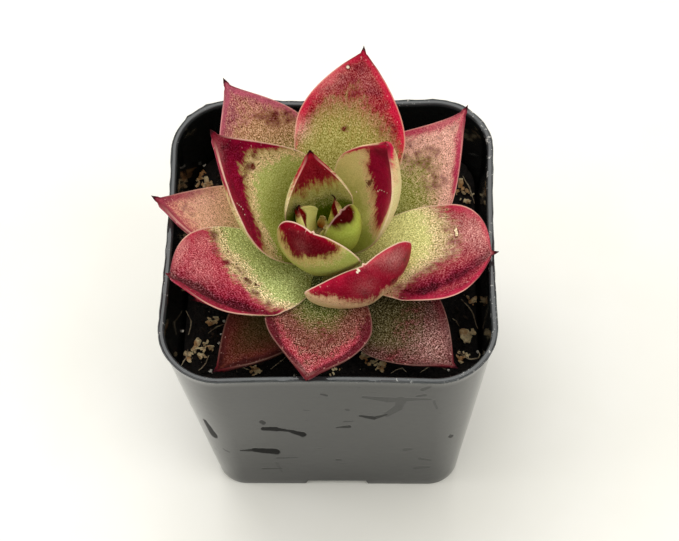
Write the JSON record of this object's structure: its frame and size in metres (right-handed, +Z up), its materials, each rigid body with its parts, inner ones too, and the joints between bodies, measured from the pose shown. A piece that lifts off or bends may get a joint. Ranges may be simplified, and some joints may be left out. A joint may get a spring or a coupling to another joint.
{
  "type": "potted rosette succulent",
  "caption": "Small echeveria rosette with green leaves flushed crimson, growing in a square black plastic nursery pot.",
  "frame": {"origin": "centre of the underside of the pot's floor, where the pot stands", "axes": "+Z up, -Y towards the front of the pot, +X to its right"},
  "size_m": [0.0594, 0.0582, 0.0761],
  "materials": {
    "pot_plastic": "satin",
    "soil": "matte",
    "stem": "matte",
    "leaf": "satin"
  },
  "bodies": {
    "root": {"pot": "pot_plastic", "soil": "soil", "stem": "stem", "bud": "leaf", "leaf_01": "leaf", "leaf_02": "leaf", "leaf_03": "leaf", "leaf_04": "leaf", "leaf_05": "leaf", "leaf_06": "leaf", "leaf_07": "leaf", "leaf_08": "leaf", "leaf_09": "leaf", "leaf_10": "leaf", "leaf_11": "leaf", "leaf_12": "leaf", "leaf_13": "leaf", "leaf_14": "leaf", "leaf_15": "leaf", "leaf_16": "leaf", "leaf_17": "leaf", "leaf_18": "leaf", "leaf_19": "leaf", "leaf_20": "leaf"}
  },
  "joints": []
}
